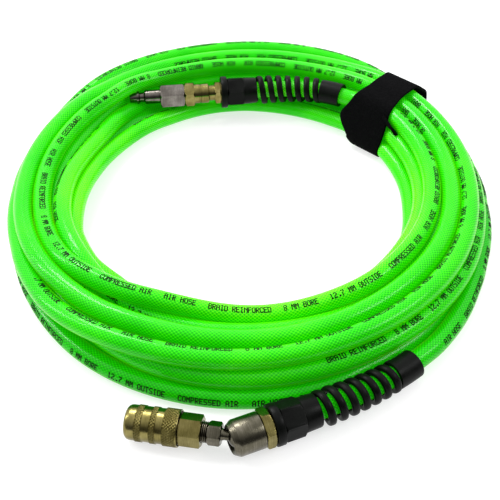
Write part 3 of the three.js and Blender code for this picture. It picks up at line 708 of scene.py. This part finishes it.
plug_stem = revolved("plug_hose_stem_hex", [
    (-20.4, AIR_R), (-20.4, 4.6), (-18.9, 4.9), (-18.9, 3.7), (-16.9, 3.7), (-16.9, 4.9),
    (-14.6, 4.9), (-14.6, 4.1), (-13.2, 4.1), (-13.2, 4.9), (-9.6, 4.9), (-9.6, 6.0),
    (-9.4, 6.2), (-5.2, 6.2), *hexagon(-5.2, -0.3, 16.6, 0.5), *BARB],
    PLUG_FRAME, "plug_hose_stem", "hose", plug_brass)

barrel = revolved("swivel_barrel_turned", [
    (-41, AIR_R), (-41, 5.4), (-40, 6.0), (-29.3, 6.0), *hexagon(-29.3, -21.5, 18.0, 0.6),
    (-21.4, 7.85), (-17.6, 7.85), (-17.3, 7.45), (-16.5, 7.45), (-16.2, 7.85), (-10.4, 7.85),
    (-9.9, 7.4), (-9.9, 5.25), (-13.1, 5.25), (-13.1, 6.3), (-14.8, 6.3), (-14.8, 5.25),
    (-21.2, 5.25), (-21.2, AIR_R)],
    PLUG_FRAME, "swivel_barrel", "plug", plug_brass)

plug = revolved("air_plug_turned", [
    (-73.7, AIR_R), (-73.7, 3.3), (-73.55, 3.6), (-73.2, 3.8), (-67.9, 3.8), (-67.8, 5.0),
    (-66.4, 5.0), (-65.9, 4.5), (-65.4, 3.9), (-62.4, 3.9), (-61.4, 5.1), (-61.0, 5.55),
    (-49.6, 5.55), (-49.2, 6.6), *hexagon(-49.0, -29.6, 17.2, 0.7), (-29.6, 6.35),
    (-41.6, 6.35), (-42.6, AIR_R)],
    PLUG_FRAME, "air_plug", "plug", plug_steel)


RELIEF_NUT = [
    (0, 9.0), (0, 12.0), (0.2, 12.4), (0.6, 12.6), (4.5, 12.6), (4.85, 12.4), (5.0, 12.0),
    *hexagon(5.0, 18.6, 20.8, 0.8), (18.8, 10.55), (27.9, 10.2), (28.6, 9.9), (28.9, 9.4),
    (28.9, 6.95), (24.5, 6.95), (22.4, 7.8), (12.4, 9.0)]
SLEEVE_RINGS, SLEEVE_SIDES = 13, 64
# (ring, radius), with the rings spaced along the bent hose
RELIEF_SLEEVE = [(0, 8.3), (0, 8.9), *((i, 9.2) for i in range(SLEEVE_RINGS)),
                 (SLEEVE_RINGS - 1, 8.9), (SLEEVE_RINGS - 1, 8.4), (SLEEVE_RINGS - 1, 7.0),
                 (0, 7.0)]
RIB_TURNS, RIB_STEPS, RIB_SIDES = 7.6, 40, 16
RIB_HALF_WIDE, RIB_HALF_HIGH = 2.4, 1.85
RIB_R, RIB_TAPER = 9.9, 2.0  # the spiral's radius at the nut, and how much it loses on the way
RIB_SUNK, RIB_SUNK_SHARE = 2.4, 0.1  # how deep it starts, and the share of it that comes up
RIB_START, RIB_PAST = 2.3, 4.2  # how far the ribs reach into the nut and into the end sleeve


def relief_frames(end, s):
    """Centres of the bent relief at the distances s, and the directions along, beside and
    above it."""
    position, heading, bend, rise = end

    def at(s):
        return placed(relief_axis(s, bend, rise), position, heading)
    t = at(s + 0.5) - at(s - 0.5)
    t /= np.linalg.norm(t, axis=1)[:, None]
    n = np.cross(t, (0, 0, 1))
    n /= np.linalg.norm(n, axis=1)[:, None]
    return at(s) + COIL_CENTRE, t, n, np.cross(n, t)


def squared(v):
    """A sine that is blunter at its peaks, for a rib's section."""
    return np.sign(v) * np.abs(v) ** 0.75


def relief_ribs(end):
    """The spiral that guards the hose: one long rib, whose start is sunk into the nut."""
    share = np.linspace(0, 1, round(RIB_TURNS * RIB_STEPS) + 1)
    c, t, n, b = relief_frames(end, NUT - RIB_START + share * (RIBS + RIB_PAST))
    a = -share * RIB_TURNS * 2 * math.pi
    radial = np.cos(a)[:, None] * n + np.sin(a)[:, None] * b
    radius = (RIB_R - RIB_TAPER * share
              - RIB_SUNK * np.maximum(0, 1 - share / RIB_SUNK_SHARE))[:, None]
    psi = np.arange(RIB_SIDES) / RIB_SIDES * 2 * math.pi
    high = RIB_HALF_HIGH * squared(np.sin(psi))[None, :, None]
    wide = RIB_HALF_WIDE * squared(np.cos(psi))[None, :, None]
    rings = c[:, None] + (radius[:, None] + high) * radial[:, None] + wide * t[:, None]
    return rings.reshape(-1, 3), tube_faces(len(share), RIB_SIDES, closed=False)


def relief_sleeve(end):
    """The plain sleeve that ends a strain relief, on the bent hose."""
    c, _, n, b = relief_frames(end, np.linspace(NUT + RIBS, NUT + GUARD, SLEEVE_RINGS))
    a = np.arange(SLEEVE_SIDES) / SLEEVE_SIDES * 2 * math.pi
    ring = np.cos(a)[None, :, None] * n[:, None] + np.sin(a)[None, :, None] * b[:, None]
    return (np.vstack([c[i] + r * ring[i] for i, r in RELIEF_SLEEVE]),
            tube_faces(len(RELIEF_SLEEVE), SLEEVE_SIDES, closed=True))


def relief(name, end, node):
    """A moulded strain relief: nut, spiral guard and end sleeve round the bent hose."""
    obj = revolved(name, RELIEF_NUT, turned_frame(*end[:2]), node, "hose",
                   relief_plastic)
    bm = bmesh.new()
    bm.from_mesh(obj.data)
    for verts, faces in (relief_ribs(end), relief_sleeve(end)):
        made = [bm.verts.new(v * MM) for v in verts]
        for face in faces:
            bm.faces.new([made[i] for i in face])
    bm.to_mesh(obj.data)
    bm.free()
    corners_smooth(obj, 35)
    return obj


relief("coupler_relief", COUPLER_END, "coupler_relief_nut")
plug_relief = relief("plug_relief", PLUG_END, "plug_relief_nut")

hose.data.materials.append(jacket)
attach(hose, "hose")
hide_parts("hose_coil", "coupler_lead", "plug_lead")
[tuple(p) for p in line * MM]

# ---------------------------------------------------------------- print

GLYPHS = {
    "A": "01110 10001 10001 11111 10001 10001 10001",
    "B": "11110 10001 10001 11110 10001 10001 11110",
    "C": "01110 10001 10000 10000 10000 10001 01110",
    "D": "11110 10001 10001 10001 10001 10001 11110",
    "E": "11111 10000 10000 11110 10000 10000 11111",
    "F": "11111 10000 10000 11110 10000 10000 10000",
    "H": "10001 10001 10001 11111 10001 10001 10001",
    "I": "01110 00100 00100 00100 00100 00100 01110",
    "M": "10001 11011 10101 10101 10001 10001 10001",
    "N": "10001 11001 10101 10011 10001 10001 10001",
    "O": "01110 10001 10001 10001 10001 10001 01110",
    "P": "11110 10001 10001 11110 10000 10000 10000",
    "R": "11110 10001 10001 11110 10100 10010 10001",
    "S": "01111 10000 10000 01110 00001 00001 11110",
    "T": "11111 00100 00100 00100 00100 00100 00100",
    "U": "10001 10001 10001 10001 10001 10001 01110",
    "1": "00100 01100 00100 00100 00100 00100 01110",
    "2": "01110 10001 00001 00110 01000 10000 11111",
    "7": "11111 00001 00010 00100 01000 01000 01000",
    "8": "01110 10001 10001 01110 10001 10001 01110",
    ".": "00000 00000 00000 00000 00000 00110 00110",
}
WORDS = "AIR HOSE   BRAID REINFORCED   8 MM BORE   12.7 MM OUTSIDE   COMPRESSED AIR   "
LETTER_PITCH = 2.5
LETTER_COLUMNS = 5
DOT_LONG, DOT_HIGH = 0.42, 0.57
INK_SPREAD = 0.05
INK_FROM, INK_TO = HOSE_R - 0.12, HOSE_R + 0.05
PRINT_MARGIN = 115  # bare hose at each end
MEAN_TURN = 936  # length of hose in a turn
NEIGHBOUR = 12  # points of the line that belong to the same stretch of hose
LIE_ON = 6.5  # how far out another strand's centreline is looked for, past the surface
TOUCHING = 0.7
# each run of dots is a box of eight points
DOT_POINTS = 8
DOT_FACES = ((3, 2, 1, 0), (4, 5, 6, 7), (0, 1, 5, 4), (1, 2, 6, 5), (2, 3, 7, 6), (3, 0, 4, 7))
# the hose twists as it is wound: where the print lies round it at the start of each turn,
# in degrees up from its outer side
PRINT_TWIST = (40, 20, -20, -30, 60, 58, 20, 150, 62, 135, 165, 60, 60)


def dot_runs(glyph):
    """The rows of a letter as runs of joined dots: (row, first column, column after the last)."""
    for row, cells in enumerate(glyph.split()):
        end = 0
        while "1" in cells[end:]:
            first = end = cells.index("1", end)
            while end < LETTER_COLUMNS and cells[end] == "1":
                end += 1
            yield row, first, end


def print_marks():
    """The words on the hose, in raised dots of ink, where no other strand covers them."""
    tree = kdtree.KDTree(len(line))
    for i, p in enumerate(line):
        tree.insert(p, i)
    tree.balance()
    verts = []
    for letter in range(round((HOSE_LENGTH - 2 * PRINT_MARGIN) / LETTER_PITCH)):
        glyph = GLYPHS.get(WORDS[letter % len(WORDS)])
        if glyph is None:
            continue
        s = PRINT_MARGIN + letter * LETTER_PITCH
        at = s / HOSE_LENGTH * (len(line) - 1)
        i, f = int(at), at % 1
        centre, go, out, top = (v[i] * (1 - f) + v[i + 1] * f for v in (line, heading, side, up))
        middle = math.radians(float(np.interp(s / MEAN_TURN - 0.25, range(len(PRINT_TWIST)),
                                              PRINT_TWIST)))
        normal = math.cos(middle) * out + math.sin(middle) * top
        covered = any(abs(j - i) > NEIGHBOUR for reach in (HOSE_R, HOSE_R + LIE_ON)
                      for _, j, _ in tree.find_range(centre + normal * reach, HOSE_R + TOUCHING))
        outwards, across = from_strap(centre)
        if covered or abs(across) < STRAP_COVERS and abs(outwards) < STRAP_REACH:
            continue
        for row, first, end in dot_runs(glyph):
            a1 = middle + ((3.5 - row) * DOT_HIGH + INK_SPREAD) / HOSE_R
            a0 = middle + ((2.5 - row) * DOT_HIGH - INK_SPREAD) / HOSE_R
            x0 = (first - LETTER_COLUMNS / 2) * DOT_LONG - 2 * INK_SPREAD
            x1 = (end - LETTER_COLUMNS / 2) * DOT_LONG + 2 * INK_SPREAD
            verts += [centre + go * x + r * (math.cos(a) * out + math.sin(a) * top)
                      for r in (INK_FROM, INK_TO)
                      for x, a in ((x0, a0), (x1, a0), (x1, a1), (x0, a1))]
    half = len(verts) // (2 * DOT_POINTS) * DOT_POINTS
    for name, dots in (("print_first", verts[:half]), ("print_last", verts[half:])):
        faces = [tuple(base + k for k in face) for base in range(0, len(dots), DOT_POINTS)
                 for face in DOT_FACES]
        piece = add(name, dots, faces, smooth=False)
        piece.data.materials.append(ink)
        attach(piece, "hose")


print_marks()

# ---------------------------------------------------------------- strap

TAIL_STATIONS = 109  # of the hose's last stretch, where the strap's end lies under it
TAIL_LENGTH = 14
TAIL_OPEN, TAIL_OPEN_MORE = 70, 50  # degrees of its cup round the hose each way, end to start
TAIL_FLARE = 2.6  # how far the cup's lips stand off the hose
TAIL_IN, TAIL_OUT = HOSE_R + 0.15, HOSE_R + 2.1
OUTLINE_POINTS, OUTLINE_CLEAR = 160, 0.25
EDGE_ROUND = 0.4


def hull(points):
    """The convex hull of points in the plane, anticlockwise."""
    points = sorted(map(tuple, np.round(points, 4)))

    def half(pts):
        chain = []
        for x, y in pts:
            while len(chain) > 1:
                (ax, ay), (bx, by) = chain[-2:]
                if (bx - ax) * (y - ay) - (by - ay) * (x - ax) > 0:
                    break
                chain.pop()
            chain.append((x, y))
        return chain[:-1]
    return np.array(half(points) + half(points[::-1]))


def evenly(loop, count):
    """A closed loop sampled at even steps."""
    closed = np.vstack([loop, loop[:1]])
    run = np.concatenate([[0], np.cumsum(np.linalg.norm(np.diff(closed, axis=0), axis=1))])
    even = np.linspace(0, run[-1], count, endpoint=False)
    return np.stack([np.interp(even, run, closed[:, i]) for i in range(2)], axis=-1)


def strap_loop():
    """The bundle's outline under the strap, a little clear of the hose."""
    outwards, across = from_strap(line)
    near = (np.abs(across) < STRAP_COVERS) & (np.abs(outwards) < STRAP_REACH)
    centres = np.stack([outwards[near], line[near, 2]], axis=-1)
    ring = np.arange(32) / 32 * 2 * math.pi
    circle = (HOSE_R + OUTLINE_CLEAR) * np.stack([np.cos(ring), np.sin(ring)], axis=-1)
    loop = evenly(hull((centres[:, None] + circle).reshape(-1, 2)), OUTLINE_POINTS)
    for _ in range(3):
        loop = (np.roll(loop, 1, 0) + 2 * loop + np.roll(loop, -1, 0)) / 4
    return loop


def strap_half(share):
    """Half the strap's width: drawn together where it is pulled tight over the outer side."""
    return STRAP_W / 2 - STRAP_GATHER * (1 - max(0, math.cos(2 * math.pi * share)))


def strap_lifted(share):
    """The strap's other edge, which is drawn up where it comes out from under the hose, and
    spreads over the inner side above that."""
    def near(at, reach):
        return math.exp(-(((share - at + 0.5) % 1 - 0.5) / reach) ** 2)
    return strap_half(share) + STRAP_SPREAD * near(0.93, 0.05) - STRAP_LIFTED * near(0.06, 0.08)


def strap_band(loop):
    """The strap round the bundle, with rounded edges."""
    d = np.roll(loop, -1, 0) - np.roll(loop, 1, 0)
    n = np.stack([d[:, 1], -d[:, 0]], axis=-1)
    n /= np.linalg.norm(n, axis=1)[:, None]
    bulge = np.linspace(EDGE_ROUND, math.pi - EDGE_ROUND, 5)
    # the strap's section, as (share of its thickness, share of its width)
    section = [(1.0, t) for t in np.linspace(0, 1, 15)]
    section += [(0.5 + 0.5 * math.cos(a), 1 + 0.5 * STRAP_T * math.sin(a) / STRAP_W)
                for a in bulge]
    section += [(0.0, t) for t in np.linspace(1, 0, 15)]
    section += [(0.5 - 0.5 * math.cos(a), -0.5 * STRAP_T * math.sin(a) / STRAP_W) for a in bulge]
    verts = []
    for i, (p, q) in enumerate(zip(loop, n)):
        share = i / (len(loop) - 1)
        low, high = -strap_half(share), strap_lifted(share)
        for thick, wide in section:
            out, height = p + q * STRAP_T * thick
            verts.append((*(strap_middle + out * strap_out
                            + (low + (high - low) * wide) * strap_across), height))
    obj = add("strap", verts, tube_faces(len(loop), len(section), closed=True))
    corners_smooth(obj, 70)
    return obj


def strap_tail():
    """The loose end of the strap, which passes under the last turn in the groove beside it."""
    outwards, across = from_strap(line)
    start, end = -STRAP_W / 2 + STRAP_GATHER + 3, -STRAP_W / 2 - TAIL_LENGTH
    under = (across < start) & (across > end) & (np.abs(outwards) < STRAP_REACH)
    under[:-TAIL_STATIONS] = False
    turn = np.linspace(-1, 1, 17)
    flare = (TAIL_FLARE * turn ** 2)[:, None]
    rings = []
    for i in np.where(under)[0]:
        share = (across[i] - end) / (start - end)
        a = -math.pi / 2 + math.radians(TAIL_OPEN + TAIL_OPEN_MORE * share ** 0.6) * turn
        round_hose = np.cos(a)[:, None] * side[i] + np.sin(a)[:, None] * up[i]
        rings += [line[i] + (TAIL_IN + flare) * round_hose,
                  (line[i] + (TAIL_OUT + flare) * round_hose)[::-1]]
    obj = add("strap_tail", np.vstack(rings),
              tube_faces(len(rings) // 2, 2 * len(turn), closed=False))
    corners_smooth(obj, 60)
    return obj


outline = strap_loop()
tail = strap_tail()
strap = strap_band(outline)
for piece in (tail, strap):
    piece.data.materials.append(strap_cloth)
    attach(piece, "hose")
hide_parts("strap_band", "strap_hook_tab")

# ---------------------------------------------------------------- floor and light

FLOOR = 9000  # from its middle to each edge
SKY_TOWARDS = (-0.15, 0.76, 0.63)  # the sky is brightest behind and above the coil
SKY_RANGE = (-0.3, 0.9, 0.12, 1.6)  # least and most towards that, and the brightness of each

floor = add("floor", [(x * FLOOR, y * FLOOR, 0) for x, y in ((-1, -1), (1, -1), (1, 1), (-1, 1))],
            [(0, 1, 2, 3)])
paper = Shader("floor_paper", Roughness=0.85, Specular_IOR_Level=0.1)
paper.set(Base_Color=paper.ramp(paper.noise(3, 2, 0.5), (0.3, (0.44, 0.44, 0.44)),
                                (0.7, (0.47, 0.47, 0.47))),
          Emission_Color=(1, 1, 1, 1), Emission_Strength=0.66)
floor.data.materials.append(paper.material)

world = bpy.data.worlds.new("studio")
bpy.context.scene.world = world
world.use_nodes = True
sky = world.node_tree
towards = sky.nodes.new("ShaderNodeTexCoord").outputs["Generated"]
facing = sky.nodes.new("ShaderNodeVectorMath")
facing.operation = "DOT_PRODUCT"
facing.inputs[1].default_value = SKY_TOWARDS
level = sky.nodes.new("ShaderNodeMapRange")
for socket, value in zip(level.inputs[1:5], SKY_RANGE):
    socket.default_value = value
sky.links.new(towards, facing.inputs[0])
sky.links.new(facing.outputs["Value"], level.inputs[0])
sky.links.new(level.outputs[0], sky.nodes["Background"].inputs[1])
sky.nodes["Background"].inputs[0].default_value = (1, 1, 1, 1)
bpy.context.scene.view_settings.view_transform = "Standard"
bpy.context.scene.view_settings.look = "None"


def softbox(name, place, target, size, power):
    """A rectangular area light, in metres and watts."""
    light = bpy.data.objects.new(name, bpy.data.lights.new(name, "AREA"))
    light.data.shape = "RECTANGLE"
    light.data.size, light.data.size_y = size
    light.data.energy = power
    light.location = place
    light.rotation_euler = (Vector(target) - Vector(place)).to_track_quat("-Z", "Y").to_euler()
    bpy.context.scene.collection.objects.link(light)


softbox("key", (-0.4, 0.6, 1.0), (0, 0.02, 0), (0.5, 0.25), 8)
softbox("side", (-1.1, 0.1, 0.7), (0, 0, 0), (0.12, 0.9), 6)
softbox("fill", (0.9, -0.2, 0.9), (0, 0, 0), (0.5, 0.3), 4)
